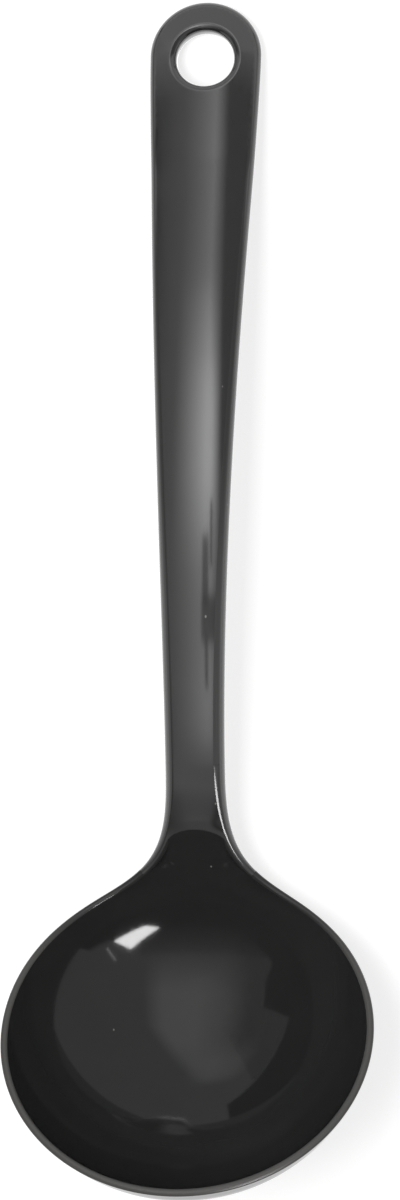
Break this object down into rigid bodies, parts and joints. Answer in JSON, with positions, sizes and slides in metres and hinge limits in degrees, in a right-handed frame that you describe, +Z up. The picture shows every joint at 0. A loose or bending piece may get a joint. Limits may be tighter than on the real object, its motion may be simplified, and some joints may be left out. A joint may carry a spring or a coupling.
{
  "type": "sauce ladle",
  "caption": "Sauce ladle of glossy black plastic: a round, deep bowl with a full round lip on a long arched handle that ends in a flat, rounded tip with a hang hole.",
  "frame": {"origin": "on the table, under the middle of the ladle's length, as the ladle rests on its bowl and on the end of its handle", "axes": "+Y along the ladle from the bowl to the hang hole, +Z up from the table, +X to the right seen from above"},
  "size_m": [0.06, 0.1928, 0.0408],
  "materials": {
    "black_plastic": "glossy moulded, with a satin lip"
  },
  "bodies": {
    "root": {"bowl": "black_plastic", "handle": "black_plastic"}
  },
  "joints": []
}
